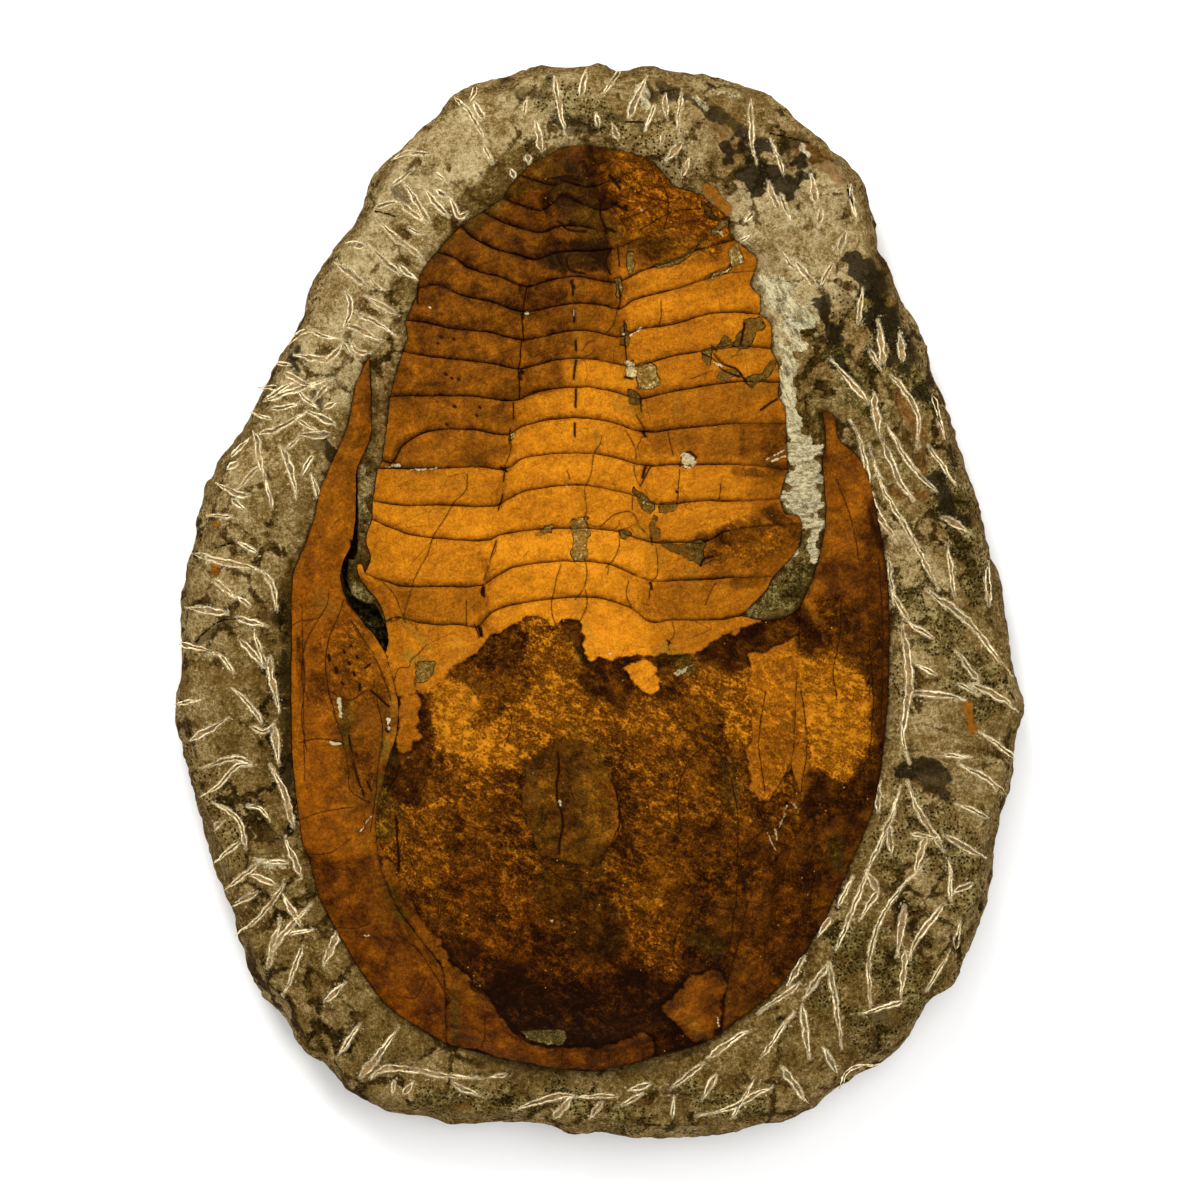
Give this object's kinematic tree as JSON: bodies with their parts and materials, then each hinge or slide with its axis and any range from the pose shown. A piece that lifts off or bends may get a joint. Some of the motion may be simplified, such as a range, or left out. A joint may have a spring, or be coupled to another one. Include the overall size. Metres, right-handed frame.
{
  "type": "fossil cambropallas telesto trilobite",
  "caption": "Large fossil trilobite prepared in relief on an egg-shaped stone slab: domed head with cheek spines, jointed body with a raised axis and a small tail.",
  "frame": {"origin": "middle of the slab's flat back, at the object's lowest level", "axes": "+Y along the animal towards its tail, +Z out of the slab towards the viewer, +X to the right of the picture"},
  "size_m": [0.272, 0.3434, 0.0555],
  "materials": {
    "matrix_stone": "matt grey-brown siltstone with pale chisel marks and dark stains",
    "head_brown": "mottled dark brown and ochre, finely rough",
    "cheek_red_brown": "smooth red-brown, finely cracked",
    "thorax_ochre": "smooth bright ochre, finely cracked",
    "tail_brown_ochre": "brown ochre, finely rough"
  },
  "bodies": {
    "root": {"matrix_slab": "matrix_stone", "cranidium": "head_brown", "free_cheek_left": "cheek_red_brown", "free_cheek_right": "cheek_red_brown", "thorax_segment_01": "thorax_ochre", "thorax_segment_02": "thorax_ochre", "thorax_segment_03": "thorax_ochre", "thorax_segment_04": "thorax_ochre", "thorax_segment_05": "thorax_ochre", "thorax_segment_06": "thorax_ochre", "thorax_segment_07": "thorax_ochre", "thorax_segment_08": "thorax_ochre", "thorax_segment_09": "tail_brown_ochre", "thorax_segment_10": "tail_brown_ochre", "thorax_segment_11": "tail_brown_ochre", "thorax_segment_12": "tail_brown_ochre", "thorax_segment_13": "tail_brown_ochre", "thorax_segment_14": "tail_brown_ochre", "pygidium": "tail_brown_ochre"}
  },
  "joints": []
}
